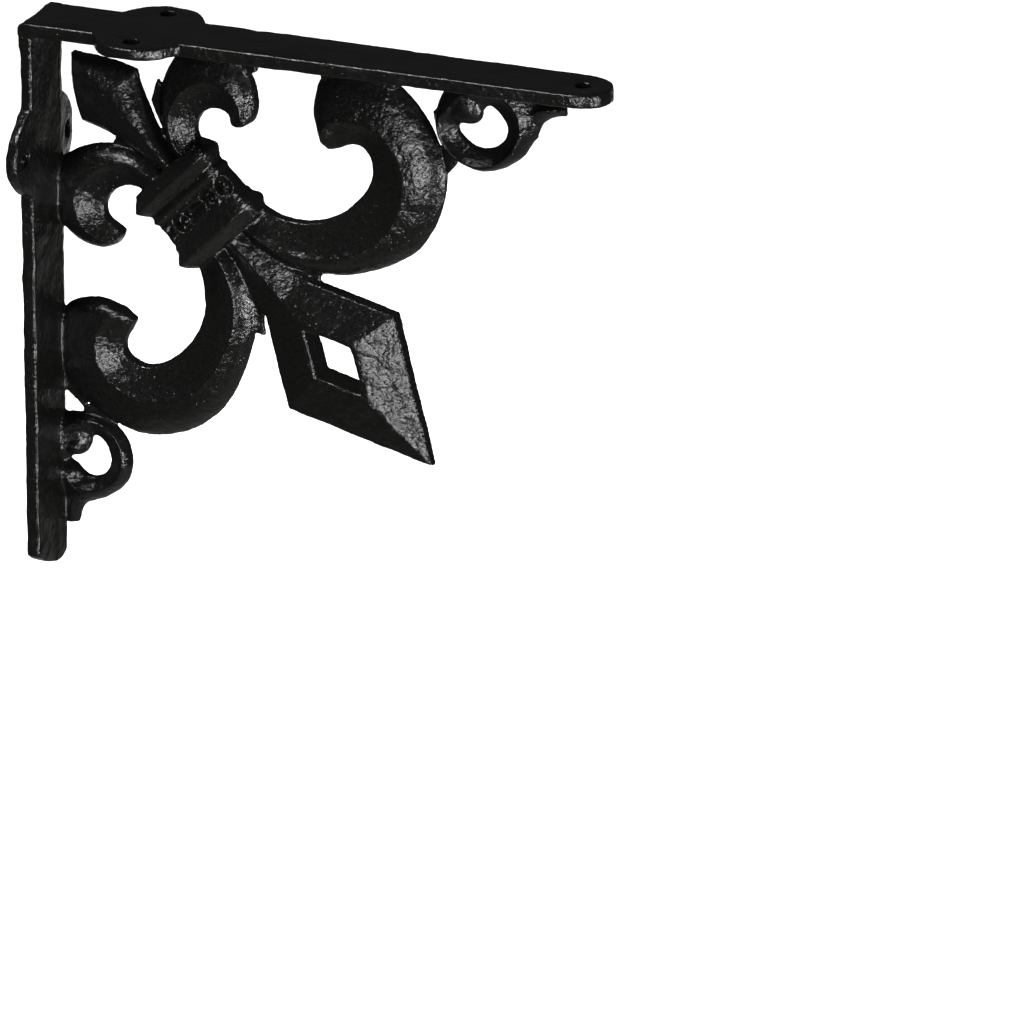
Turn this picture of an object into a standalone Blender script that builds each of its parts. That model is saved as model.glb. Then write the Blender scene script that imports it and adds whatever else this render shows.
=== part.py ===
"""Ornate cast iron shelf bracket, one casting.

An L of two flat bars: the arm carries the shelf, the leg lies on the wall. Each bar has
an ear of two lobes with screw holes. The corner is filled by a one-sided relief: a
fleur-de-lis pointing into the corner, a collar, two large C-scrolls, a pierced lozenge
tail and a small ring scroll near the end of each bar.

Frame: +X along the arm, away from the wall; +Z up; the relief faces -Y. The origin is on
the leg's back face, on the centre line, between the two screw holes of the leg's ear.
Every length below is in millimetres and every angle in degrees.
"""

import math

import bmesh
import bpy
import numpy as np

MM = 0.001

# Frame of two bars
ARM_LENGTH = 203.0
LEG_LENGTH = 193.0
CORNER_WIDTH = 23.6          # both bars, at the corner
END_WIDTH = 21.4             # both bars, at their ends
PARTING_DEPTH = 9.0          # where the mould's halves met, measured toward the flat back
BAR_THICKNESS = 5.8          # at the parting plane
NEAR_DRAFT = 0.058           # thickness lost per mm toward the relief side
BACK_DRAFT = 0.12            # thickness lost per mm toward the flat back
CORNER_ROUND = 2.4
TONGUE_LENGTH = 15.0         # rounded end of the arm
TONGUE_POWER = 2.4
LEG_END_CROWN = 4.0          # where the leg's end reaches lowest, toward the back
LEG_END_NEAR_RISE = 6.4
LEG_END_BACK_RISE = 2.2

# Ears and their screw holes
ARM_EAR_CENTRE = 42.0
LEG_EAR_CENTRE = 45.0
EAR_HALF_LENGTH = 14.8
EAR_REACH = 22.8             # from the bar's centre line to the top of a lobe
EAR_POWER = 2.6
ARM_HOLE_SPACING = 30.0
LEG_HOLE_SPACING = 32.4
TONGUE_HOLE_FROM_END = 9.5
HOLE_DIAMETER = 5.4
HOLE_SIDES = 24

# Relief: one flat back, side walls, and slopes that rise to a crest toward -Y
AXIS_OFFSET = -2.9           # the relief's own diagonal lies this far toward the leg
BACK = 10.6
WALL_TOP = 6.9
CREST = 4.0
WALL_DRAFT = 0.5             # each side wall leans in by this much
OUTER_ROLL = (1.8, 0.62)     # powers of the outer slope's roll from the crest to the back

# Fleur-de-lis, in diagonal coordinates (along the diagonal, across it)
SPEAR_TIP = 18.0
SPEAR_SHOULDER = 36.8
SPEAR_HALF_WIDTH = 13.3
SPEAR_BASE = 74.0
SPEAR_BASE_HALF_WIDTH = 2.6
SPEAR_TIP_POWER = 1.25
SPEAR_FALL_POWER = 2.1
SPEAR_LEG_EXTRA = 2.3        # its half toward the leg is wider by this much
SPEAR_CREST_SHIFT = 1.1      # and its crest lies this far toward the arm
SPEAR_SPREAD = 4.0           # both grow to the full from its tip to a quarter of the way to the shoulder

COLLAR_START = 67.4
COLLAR_END = 98.4
COLLAR_SHIFT = -0.9          # the collar sits this far toward the leg
COLLAR_HALF_WIDTH = 16.0
COLLAR_FRONT = 1.9
COLLAR_POWER = 5.5           # how boxy its cross-section is
BEAD_SIDE_SHARE = 0.8        # a bead stands out less at the sides than in front
COLLAR_BEADS = (             # centre along the diagonal, half length, height
    (71.9, 3.9, 3.2),
    (78.4, 1.5, 1.1),
    (89.6, 1.5, 1.1),
    (93.9, 4.1, 3.6),
)
EGG_CENTRE = 83.8
EGG_PITCH = 6.9
EGG_COUNT = 5
EGG_SIZE = (6.2, 5.2)        # along and across the diagonal
EGG_HEIGHT = 1.1
EGG_INSET = 1.6              # least distance from an egg's middle to the collar's side

# Lozenge tail, pierced
NECK_START = 94.0
NECK_END = 124.0
NECK_HALF_WIDTHS = (5.2, 10.6)   # at its start and its end
NECK_SINK = 0.5              # the neck's edges lie this far under the scrolls' edges
TAIL_CENTRE = 152.5
TAIL_HALF_LENGTH = 45.8
TAIL_HALF_WIDTH = 27.8
TAIL_TIP_LEAN = 0.9          # how far its side walls lean in, at the tips and at the sides
TAIL_SIDE_LEAN = 1.4
EYE_CENTRE = 150.8
EYE_HALF_LENGTH = 14.8
EYE_HALF_WIDTH = 8.6
EYE_RIM = 2.1                # flat rim round the eye
EYE_BACK_SHARE = 0.76        # the eye is smaller at the back
EYE_FRONT = 2.9

# A curved member is a row of cuts from its inner edge to its outer edge:
# inner along, inner across, outer along, outer across, share of the full relief
C_SCROLL_CUTS = (
    (92.0, 14.8, 92.0, 3.8, 0.8),
    (101.0, 17.4, 106.0, 4.4, 1.0),
    (108.0, 22.2, 118.0, 8.8, 1.0),
    (113.3, 28.7, 128.2, 18.0, 1.0),
    (116.2, 36.5, 136.2, 32.5, 1.0),
    (116.8, 45.0, 139.8, 47.5, 1.0),
    (115.0, 53.5, 137.0, 62.5, 1.0),
    (111.0, 58.4, 128.0, 75.8, 1.0),
    (106.0, 60.2, 112.5, 82.6, 1.0),
    (102.3, 59.2, 97.5, 83.2, 1.0),
    (100.0, 56.4, 85.0, 76.6, 1.0),
    (99.0, 53.2, 79.8, 65.2, 1.0),
    (98.3, 50.7, 84.6, 54.8, 0.8),
    (97.6, 48.8, 92.0, 49.2, 0.35),
)
HOOK_CUTS = (
    (76.0, 13.8, 76.0, 3.6, 0.8),
    (67.6, 14.4, 66.0, 4.2, 1.0),
    (64.5, 16.0, 58.0, 6.1, 1.0),
    (62.4, 18.6, 51.5, 9.8, 1.0),
    (61.3, 22.0, 46.0, 15.9, 1.0),
    (61.4, 25.6, 42.2, 24.2, 1.0),
    (62.7, 28.6, 41.4, 33.0, 1.0),
    (64.8, 30.4, 45.6, 41.0, 1.0),
    (67.0, 30.9, 54.6, 46.0, 1.0),
    (69.0, 30.6, 64.0, 45.0, 1.0),
    (71.0, 30.1, 71.2, 40.8, 1.0),
    (72.6, 29.8, 74.7, 35.2, 0.7),
    (73.4, 29.9, 74.3, 31.6, 0.3),
)
C_SCROLL_CREST = 0.58        # crest's place between the inner and the outer edge
HOOK_CREST = 0.55
# The two halves of the pattern differ by bulges: edge, fullest place along the member
# (0 to 1), half length of the bulge, growth of the edge
C_SCROLL_BULGES = {
    "arm": (("inner", 0.7, 0.45, 2.0), ("outer", 0.35, 0.25, 2.0), ("outer", 0.88, 0.15, 2.0)),
    "leg": (("inner", 0.3, 0.5, 2.0), ("outer", 0.3, 0.25, -2.0), ("outer", 0.68, 0.15, 1.5),
            ("outer", 0.88, 0.15, 2.0)),
}
HOOK_BULGES = {
    "arm": (("inner", 0.7, 0.5, 3.5), ("outer", 0.8, 0.2, -1.5)),
    "leg": (("outer", 0.8, 0.2, 1.5),),
}

# Ring scrolls, in bar coordinates: distance from the corner, reach from the bar's outer
# face, stretch along and away
RING_PLACES = {"leg": (155.4, 14.9, 1.0, 0.98), "arm": (155.2, 22.2, 1.12, 0.98)}
RING_INNER = 7.6
RING_OUTER = 15.3
RING_CREST = 0.56
RING_WALL_TOP = 8.0
RING_RISE = 2.6
RING_START = 255.0           # from the bar, round by the corner side, back to the bar
RING_SWEEP = 330.0
CURLS = ((-5.5, -5.2, 5.6), (6.4, -6.2, 4.0))   # centre along and away, radius
CURL_SIDES = 18
CURL_DOME = ((0.0, 0.97), (1.4, 0.8), (2.2, 0.45))   # height above the wall top, share of radius
FOOT_ENDS = {"leg": (180.0, 10.3), "arm": (184.0, 15.0)}   # distance, reach
FOOT_HOLLOW = (-9.2, 1.8)    # pull of the foot's hollow edge, from its end
FOOT_LEAVES_RING = 35.0
FOOT_FRONT = 7.4
FOOT_STEPS = 7

# Pads that join the relief to the underside of the arm: first and last x, lowest point
ARM_PADS = ((48.0, 76.0, 13.6), (98.7, 125.0, 12.6), (143.5, 184.0, 13.4))
PAD_FRONT = 7.6
ROOT_IN_BAR = 3.0            # pads and feet start this far inside the bar's outer face

# Webs that close the ends of narrow gaps near the flat back: corners as x and as depth below
# the arm's top
WEB_FRONT = 8.8
WEB_FRONT_STEP = 0.03        # each web lies this much deeper than the one before
WEBS = (
    ((38.0, 28.5), (40.5, 21.0), (44.0, 28.0), (43.5, 42.0)),      # spear and arm petal
    ((24.0, 44.5), (26.5, 42.0), (31.5, 46.0), (26.0, 47.0)),      # spear and leg petal
    ((73.0, 104.5), (78.0, 105.0), (77.0, 92.0), (73.5, 92.5)),    # leg scroll and neck
    ((97.5, 83.5), (98.0, 81.5), (89.5, 79.0), (89.5, 83.0)),      # arm scroll and neck
    ((137.5, 19.5), (140.0, 16.5), (146.0, 36.0), (143.0, 40.0)),  # arm scroll and ring
    ((5.0, 125.5), (5.0, 133.0), (12.5, 139.5), (15.0, 136.0)),    # leg scroll and leg
    ((12.5, 138.0), (12.5, 141.0), (26.5, 147.0), (22.5, 142.0)),  # leg scroll and ring
)

# How far the patterns run past the relief's back before it is trimmed flat
TRIM_FIRST = 0.8
TRIM_STEP = 0.06
TRIM_DEPTH = 8.0

BAND_STEPS = 34
SPEAR_STEPS = 14
COLLAR_STEPS = 46
COLLAR_SIDES = 14
RING_STEPS = 22

CORNER_HEIGHT = LEG_EAR_CENTRE   # the arm's top above the origin
ROOT_HALF = math.sqrt(0.5)


def clear_scene():
    for item in list(bpy.data.objects):
        bpy.data.objects.remove(item)


def new_collection(name):
    collection = bpy.data.collections.new(name)
    bpy.context.scene.collection.children.link(collection)
    return collection


def to_world(point):
    """From millimetres measured from the outer corner to metres from the origin."""
    return (point[0] * MM, point[1] * MM, (point[2] + CORNER_HEIGHT) * MM)


def diagonal(along, across, depth, side):
    """A point of the relief: side is +1 on the arm's half and -1 on the leg's."""
    offset = side * across + AXIS_OFFSET
    return ((along + offset) * ROOT_HALF, depth, (offset - along) * ROOT_HALF)


def beside_bar(distance, reach, depth, bar):
    """A point given by its distance from the corner and its reach from the bar's outer face."""
    if bar == "arm":
        return (distance, depth, -reach)
    return (reach, depth, -distance)


def face_outward(shell):
    """Make the faces of a closed mesh agree, and point out of it."""
    bmesh.ops.recalc_face_normals(shell, faces=shell.faces)
    if shell.calc_volume(signed=True) < 0:
        bmesh.ops.reverse_faces(shell, faces=shell.faces)


def add_mesh(name, vertices, faces, collection):
    mesh = bpy.data.meshes.new(name)
    mesh.from_pydata([to_world(v) for v in vertices], [], faces)
    mesh.update()
    shell = bmesh.new()
    shell.from_mesh(mesh)
    face_outward(shell)
    shell.to_mesh(mesh)
    shell.free()
    item = bpy.data.objects.new(name, mesh)
    collection.objects.link(item)
    return item


def loft(name, sections, collection):
    """Skin a row of sections with equal numbers of points, and cap both ends."""
    count = len(sections[0])
    vertices = [point for section in sections for point in section]
    faces = []
    for row in range(len(sections) - 1):
        for k in range(count):
            after = (k + 1) % count
            low = row * count
            faces.append((low + k, low + after, low + count + after, low + count + k))
    faces.append(tuple(range(count)))
    last = (len(sections) - 1) * count
    faces.append(tuple(last + k for k in range(count)))
    return add_mesh(name, vertices, faces, collection)


def smooth_rows(rows, steps):
    """A Catmull-Rom curve through the rows, read at equal steps."""
    rows = np.asarray(rows, dtype=float)
    padded = np.vstack((2 * rows[0] - rows[1], rows, 2 * rows[-1] - rows[-2]))
    result = []
    for value in np.linspace(0, len(rows) - 1, steps):
        k = min(int(value), len(rows) - 2)
        t = value - k
        a, b, c, d = padded[k:k + 4]
        result.append(0.5 * (2 * b + (c - a) * t + (2 * a - 5 * b + 4 * c - d) * t * t
                             + (3 * b - a - 3 * c + d) * t ** 3))
    return result


def relief_profile(crest_place, wall_top, rise):
    """Pairs of (place across, depth) from the inner back edge to the outer back edge.

    The inner slope is hollow and ends on a wall; the outer one rolls down to the flat back.
    """
    crest_depth = wall_top - rise
    profile = [(0.0, BACK), (0.0, wall_top)]
    for share in (0.35, 0.65, 0.86):
        profile.append((crest_place * share, wall_top - rise * share ** 1.5))
    profile.append((crest_place, crest_depth))
    for share in (0.25, 0.5, 0.75, 0.92):
        roll = 1 - (1 - share ** OUTER_ROLL[0]) ** OUTER_ROLL[1]
        place = crest_place + (1 - crest_place) * share
        profile.append((place, crest_depth + (BACK - crest_depth) * roll))
    profile.append((1.0, BACK))
    return profile


def band(name, cuts, crest_place, side, collection, wall_top=WALL_TOP, rise=None):
    """A curved member of the relief, swept through its cuts."""
    full_rise = WALL_TOP - CREST if rise is None else rise
    sections = []
    for cut in smooth_rows(cuts, BAND_STEPS):
        inner = cut[0:2]
        outer = cut[2:4]
        width = np.linalg.norm(outer - inner)
        section = []
        for place, depth in relief_profile(crest_place, wall_top, full_rise * cut[4]):
            lean = WALL_DRAFT * min(1.0, (BACK - depth) / (BACK - wall_top))
            inset = lean / width
            spot = inner + (outer - inner) * (inset + place * (1 - inset))
            section.append(diagonal(spot[0], spot[1], depth, side))
        sections.append(section)
    return loft(name, sections, collection)


def bulged(cuts, bulges):
    """The same cuts, with an edge moved out by a cosine-squared bump at each bulge."""
    rows = np.array(cuts)
    span = rows[:, 2:4] - rows[:, 0:2]
    span = span / np.linalg.norm(span, axis=1)[:, None]
    along = np.linspace(0, 1, len(rows))
    for edge, fullest, half_length, growth in bulges:
        share = np.clip(np.abs(along - fullest) / half_length, 0, 1)
        move = span * (growth * np.cos(0.5 * math.pi * share) ** 2)[:, None]
        if edge == "inner":
            rows[:, 0:2] -= move
        else:
            rows[:, 2:4] += move
    return rows


def spear_half_width(along):
    if along <= SPEAR_SHOULDER:
        share = (along - SPEAR_TIP) / (SPEAR_SHOULDER - SPEAR_TIP)
        return SPEAR_HALF_WIDTH * (1 - (1 - share) ** SPEAR_TIP_POWER)
    share = (along - SPEAR_SHOULDER) / (SPEAR_BASE - SPEAR_SHOULDER)
    fall = (1 - share) ** SPEAR_FALL_POWER
    return SPEAR_BASE_HALF_WIDTH + (SPEAR_HALF_WIDTH - SPEAR_BASE_HALF_WIDTH) * fall


def spear_lopsidedness(along):
    """From 0 to 1: how much of the leg side's extra width the spear has here."""
    rise = (along - SPEAR_TIP) / (SPEAR_SHOULDER - SPEAR_TIP)
    fall = max(0.0, (along - SPEAR_SHOULDER) / (SPEAR_BASE - SPEAR_SHOULDER))
    return min(1.0, SPEAR_SPREAD * rise) * (1 - fall ** 2)


def add_spear(collection):
    """The middle petal: a leaf blade with one crest along the diagonal."""
    before = np.linspace(0, 1, SPEAR_STEPS // 2) ** 1.5
    stations = list(SPEAR_TIP + 0.25 + before * (SPEAR_SHOULDER - SPEAR_TIP - 0.25))
    stations += list(np.linspace(SPEAR_SHOULDER, SPEAR_BASE, SPEAR_STEPS)[1:])
    sections = []
    for along in stations:
        half = spear_half_width(along)
        top = max(half - WALL_DRAFT, half * 0.5)
        crest = WALL_TOP - (WALL_TOP - CREST) * min(1.0, half / 6.0) ** 0.5
        if along > SPEAR_SHOULDER:
            crest = CREST
        extra = SPEAR_LEG_EXTRA * spear_lopsidedness(along)
        ridge = SPEAR_CREST_SHIFT * spear_lopsidedness(along)
        ridge = min(ridge, 0.5 * top)
        points = ((-half - extra, BACK), (-top - extra, WALL_TOP), (ridge, crest),
                  (top, WALL_TOP), (half, BACK))
        sections.append([diagonal(along, across, depth, 1) for across, depth in points])
    return loft("spear_petal", sections, collection)


def bead_height(along):
    height = 0.0
    for centre, half_length, full in COLLAR_BEADS:
        share = abs(along - centre) / half_length
        if share < 1:
            height = max(height, full * math.sqrt(1 - share * share))
    return height


def collar_depth(across, half, front):
    share = min(1.0, abs(across) / half)
    return BACK - (BACK - front) * (1 - share ** COLLAR_POWER) ** (1 / COLLAR_POWER)


def add_collar(collection):
    """The clasp: a boxy dome carried along the diagonal, swelling at each bead."""
    sections = []
    for along in np.linspace(COLLAR_START, COLLAR_END, COLLAR_STEPS):
        height = bead_height(along)
        half = COLLAR_HALF_WIDTH + BEAD_SIDE_SHARE * height
        front = COLLAR_FRONT - height
        section = []
        for k in range(COLLAR_SIDES + 1):
            turn = math.pi * k / COLLAR_SIDES
            bulge = math.copysign(abs(math.cos(turn)) ** (2 / COLLAR_POWER), math.cos(turn))
            depth = BACK - (BACK - front) * abs(math.sin(turn)) ** (2 / COLLAR_POWER)
            section.append(diagonal(along, COLLAR_SHIFT - half * bulge, depth, 1))
        sections.append(section)
    return loft("collar", sections, collection)


def add_eggs(collection):
    """A row of egg-shaped beads round the collar's hollow band."""
    eggs = []
    for k in range(EGG_COUNT):
        across = (k - (EGG_COUNT - 1) / 2) * EGG_PITCH
        across = math.copysign(min(abs(across), COLLAR_HALF_WIDTH - EGG_INSET), across)
        depth = collar_depth(across, COLLAR_HALF_WIDTH, COLLAR_FRONT)
        mesh = bpy.data.meshes.new("egg_%d" % (k + 1))
        ball = bmesh.new()
        bmesh.ops.create_uvsphere(ball, u_segments=12, v_segments=6, radius=1.0)
        for vertex in ball.verts:
            along = EGG_CENTRE + vertex.co.x * EGG_SIZE[0] / 2
            spot = COLLAR_SHIFT + across + vertex.co.y * EGG_SIZE[1] / 2
            height = depth + vertex.co.z * EGG_HEIGHT
            vertex.co = to_world(diagonal(along, spot, height, 1))
        face_outward(ball)
        ball.to_mesh(mesh)
        ball.free()
        item = bpy.data.objects.new(mesh.name, mesh)
        collection.objects.link(item)
        eggs.append(item)
    return eggs


def lozenge(centre, half_length, half_width):
    return [(centre - half_length, 0.0), (centre, half_width),
            (centre + half_length, 0.0), (centre, -half_width)]


def add_tail(collection):
    """A pierced lozenge: a pyramid of four facets up to a flat rim round the eye."""
    slope = TAIL_HALF_WIDTH / TAIL_HALF_LENGTH
    rim_length = EYE_HALF_LENGTH + EYE_RIM / slope
    rim_width = EYE_HALF_WIDTH + EYE_RIM
    eye_back = EYE_BACK_SHARE
    loops = (
        (lozenge(TAIL_CENTRE, TAIL_HALF_LENGTH, TAIL_HALF_WIDTH), BACK),
        (lozenge(TAIL_CENTRE, TAIL_HALF_LENGTH - TAIL_TIP_LEAN,
                 TAIL_HALF_WIDTH - TAIL_SIDE_LEAN), WALL_TOP),
        (lozenge(EYE_CENTRE, rim_length, rim_width), EYE_FRONT),
        (lozenge(EYE_CENTRE, EYE_HALF_LENGTH, EYE_HALF_WIDTH), EYE_FRONT),
        (lozenge(EYE_CENTRE, EYE_HALF_LENGTH * eye_back, EYE_HALF_WIDTH * eye_back), BACK),
    )
    vertices = []
    for loop, depth in loops:
        vertices += [diagonal(along, across, depth, 1) for along, across in loop]
    faces = []
    for k in range(len(loops)):
        low = 4 * k
        high = 4 * ((k + 1) % len(loops))
        for m in range(4):
            after = (m + 1) % 4
            faces.append((low + m, low + after, high + after, high + m))
    return add_mesh("lozenge_tail", vertices, faces, collection)


def add_neck(collection):
    """The stalk between the collar and the lozenge."""
    sections = []
    for along, half in zip((NECK_START, NECK_END), NECK_HALF_WIDTHS):
        points = ((-half, BACK), (-half, WALL_TOP + NECK_SINK), (0.0, CREST),
                  (half, WALL_TOP + NECK_SINK), (half, BACK))
        sections.append([diagonal(along, across, depth, 1) for across, depth in points])
    return loft("tail_neck", sections, collection)


def add_ring(bar, collection):
    """A small C-scroll beside the end of a bar: a band round an open eye, and two curls."""
    distance, reach, stretch, lift = RING_PLACES[bar]
    sections = []
    for step in range(RING_STEPS + 1):
        turn = math.radians(RING_START - RING_SWEEP * step / RING_STEPS)
        section = []
        for place, depth in relief_profile(RING_CREST, RING_WALL_TOP, RING_RISE):
            radius = RING_INNER + (RING_OUTER - RING_INNER) * place
            section.append(beside_bar(distance + stretch * radius * math.cos(turn),
                                      reach + lift * radius * math.sin(turn), depth, bar))
        sections.append(section)
    pieces = [loft(bar + "_ring", sections, collection)]
    for number, (along, away, radius) in enumerate(CURLS):
        sections = []
        for height, share in ((RING_WALL_TOP - BACK, 1.0),) + CURL_DOME:
            section = []
            for k in range(CURL_SIDES):
                turn = 2 * math.pi * k / CURL_SIDES
                spot = distance + stretch * (along + radius * share * math.cos(turn))
                out = reach + lift * (away + radius * share * math.sin(turn))
                section.append(beside_bar(spot, out, RING_WALL_TOP - height, bar))
            sections.append(section)
        pieces.append(loft("%s_curl_%d" % (bar, number + 1), sections, collection))
    return pieces


def add_foot(bar, collection):
    """The leaf that runs out along the bar from a ring scroll, hollow on its outer edge."""
    distance, reach, stretch, lift = RING_PLACES[bar]
    end, end_reach = FOOT_ENDS[bar]
    leave = math.radians(FOOT_LEAVES_RING)
    start = (distance + RING_OUTER * stretch * math.cos(leave),
             reach + RING_OUTER * lift * math.sin(leave))
    pull = (end + FOOT_HOLLOW[0], end_reach + FOOT_HOLLOW[1])
    inside = distance + RING_INNER * stretch
    sections = []
    for depth in (BACK, FOOT_FRONT):
        section = [beside_bar(inside, ROOT_IN_BAR, depth, bar),
                   beside_bar(end, ROOT_IN_BAR, depth, bar)]
        for t in np.linspace(1, 0, FOOT_STEPS):
            spot = (1 - t) ** 2 * start[0] + 2 * t * (1 - t) * pull[0] + t * t * end
            out = (1 - t) ** 2 * start[1] + 2 * t * (1 - t) * pull[1] + t * t * end_reach
            section.append(beside_bar(spot, out, depth, bar))
        section.append(beside_bar(inside, start[1], depth, bar))
        sections.append(section)
    return loft(bar + "_foot", sections, collection)


def add_pad(number, start, end, bottom, collection):
    """A flat pad between the arm's underside and the relief below it."""
    sections = []
    for depth in (BACK, PAD_FRONT):
        sections.append([(start, depth, -ROOT_IN_BAR), (end, depth, -ROOT_IN_BAR),
                         (end, depth, -bottom), (start, depth, -bottom)])
    return loft("arm_pad_%d" % number, sections, collection)


def add_web(number, corners, collection):
    """A thin plate between two members, set back behind the relief's face."""
    front = WEB_FRONT + WEB_FRONT_STEP * number
    sections = [[(x, depth, -below) for x, below in corners] for depth in (BACK, front)]
    return loft("web_%d" % number, sections, collection)


def lengthen_backs(pieces):
    """Let each piece run its own distance past the relief's flat back, for a clean trim."""
    for number, piece in enumerate(pieces):
        extra = TRIM_FIRST + TRIM_STEP * number
        for vertex in piece.data.vertices:
            if vertex.co.y > (BACK - TRIM_STEP) * MM:
                vertex.co.y += extra * MM


def add_trim(collection):
    """A cutter that leaves the relief with one flat back."""
    sections = []
    for depth in (BACK, BACK + TRIM_DEPTH):
        sections.append([(-10.0, depth, 10.0), (220.0, depth, 10.0),
                         (220.0, depth, -210.0), (-10.0, depth, -210.0)])
    return loft("back_trim", sections, collection)


def half_width(distance, length):
    return 0.5 * (CORNER_WIDTH + (END_WIDTH - CORNER_WIDTH) * distance / length)


def thickness_at(depth):
    """Bars are thickest at the parting plane and thinner toward both faces."""
    if depth <= PARTING_DEPTH:
        return BAR_THICKNESS - NEAR_DRAFT * (PARTING_DEPTH - depth)
    return BAR_THICKNESS - BACK_DRAFT * (depth - PARTING_DEPTH)


def ear_edge(centre, length):
    """Points of one side of a bar along its ear: a lobe that leaves the edge in a curve."""
    points = []
    for share in np.linspace(-1, 1, 17):
        distance = centre + EAR_HALF_LENGTH * share
        edge = half_width(distance, length)
        lobe = (EAR_REACH - edge) * (1 - abs(share) ** EAR_POWER)
        points.append((distance, edge + lobe))
    return points


def tongue_edge():
    """Points of the arm's rounded end, from one long edge to the other."""
    root = ARM_LENGTH - TONGUE_LENGTH
    half = half_width(root, ARM_LENGTH)
    points = []
    for k in range(13):
        turn = math.pi * (0.5 - k / 12)
        power = 2 / TONGUE_POWER
        reach = TONGUE_LENGTH * math.cos(turn) ** power if k not in (0, 12) else 0.0
        across = half * math.copysign(abs(math.sin(turn)) ** power, math.sin(turn))
        points.append((root + reach, across))
    return points


def leg_end_edge():
    """Points of the leg's end, cast with its relief-side corner worn well back."""
    half = half_width(LEG_LENGTH, LEG_LENGTH)
    points = []
    for across in np.linspace(half, -half, 9):
        if across > LEG_END_CROWN:
            share = (across - LEG_END_CROWN) / (half - LEG_END_CROWN)
            rise = LEG_END_BACK_RISE * share ** 2
        else:
            share = (LEG_END_CROWN - across) / (half + LEG_END_CROWN)
            rise = LEG_END_NEAR_RISE * share ** 1.6
        points.append((LEG_LENGTH - rise, across))
    return points


def bar_outline(centre, length, end_points):
    half = half_width(0.0, length)
    upper = [(0.0, half)] + ear_edge(centre, length)
    lower = [(0.0, -half)] + [(distance, -edge) for distance, edge in ear_edge(centre, length)]
    return upper + end_points + lower[::-1]


def add_bar(bar, outline, collection):
    """A flat outline with thickness, split at the parting plane and given its draft."""
    curve = bpy.data.curves.new(bar, "CURVE")
    curve.dimensions = "2D"
    curve.fill_mode = "BOTH"
    curve.extrude = 0.5
    spline = curve.splines.new("POLY")
    spline.points.add(len(outline) - 1)
    for point, (distance, across) in zip(spline.points, outline):
        point.co = (distance, across, 0.0, 1.0)
    spline.use_cyclic_u = True
    guide = bpy.data.objects.new(bar, curve)
    collection.objects.link(guide)
    bpy.context.view_layer.update()
    mesh = bpy.data.meshes.new_from_object(guide.evaluated_get(bpy.context.evaluated_depsgraph_get()))
    bpy.data.objects.remove(guide)
    slab = bmesh.new()
    slab.from_mesh(mesh)
    bmesh.ops.remove_doubles(slab, verts=slab.verts, dist=0.001)
    bmesh.ops.bisect_plane(slab, geom=slab.verts[:] + slab.edges[:] + slab.faces[:],
                           plane_co=(0, PARTING_DEPTH, 0), plane_no=(0, 1, 0))
    for vertex in slab.verts:
        distance, depth, layer = vertex.co
        reach = thickness_at(depth) if layer < 0 else 0.0
        vertex.co = to_world(beside_bar(distance, reach, depth, bar))
    face_outward(slab)
    slab.to_mesh(mesh)
    slab.free()
    item = bpy.data.objects.new(bar, mesh)
    collection.objects.link(item)
    return item


def add_hole(name, place, bar, depth, collection):
    """A cutter for one screw hole, square to its bar."""
    mesh = bpy.data.meshes.new(name)
    drill = bmesh.new()
    bmesh.ops.create_cone(drill, cap_ends=True, segments=HOLE_SIDES, radius1=HOLE_DIAMETER / 2,
                          radius2=HOLE_DIAMETER / 2, depth=30.0)
    for vertex in drill.verts:
        spot = beside_bar(place + vertex.co.x, vertex.co.z, depth + vertex.co.y, bar)
        vertex.co = to_world(spot)
    face_outward(drill)
    drill.to_mesh(mesh)
    drill.free()
    item = bpy.data.objects.new(name, mesh)
    collection.objects.link(item)
    return item


def combine(target, others, operation):
    """One Boolean modifier for each of the other objects, which become hidden guides."""
    for other in others:
        modifier = target.modifiers.new(other.name, "BOOLEAN")
        modifier.operation = operation
        modifier.solver = "EXACT"
        modifier.object = other
        other.hide_render = True
        other.display_type = "WIRE"


def apply_modifiers(item):
    graph = bpy.context.evaluated_depsgraph_get()
    mesh = bpy.data.meshes.new_from_object(item.evaluated_get(graph))
    item.modifiers.clear()
    item.data = mesh


def round_outer_corner(item):
    """Round the edge where the arm's top meets the leg's back."""
    shell = bmesh.new()
    shell.from_mesh(item.data)
    top = CORNER_HEIGHT * MM
    corner = [edge for edge in shell.edges
              if all(abs(v.co.x) < 1e-5 and abs(v.co.z - top) < 1e-5 for v in edge.verts)]
    bmesh.ops.bevel(shell, geom=corner, offset=CORNER_ROUND * MM, segments=3, profile=0.5,
                    affect="EDGES")
    shell.to_mesh(item.data)
    shell.free()


def cast_iron_paint():
    material = bpy.data.materials.new("black enamel over cast iron")
    material.use_nodes = True
    shader = material.node_tree.nodes["Principled BSDF"]
    shader.inputs["Base Color"].default_value = (0.012, 0.012, 0.012, 1.0)
    shader.inputs["Roughness"].default_value = 0.42
    shader.inputs["Metallic"].default_value = 0.0
    return material


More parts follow.
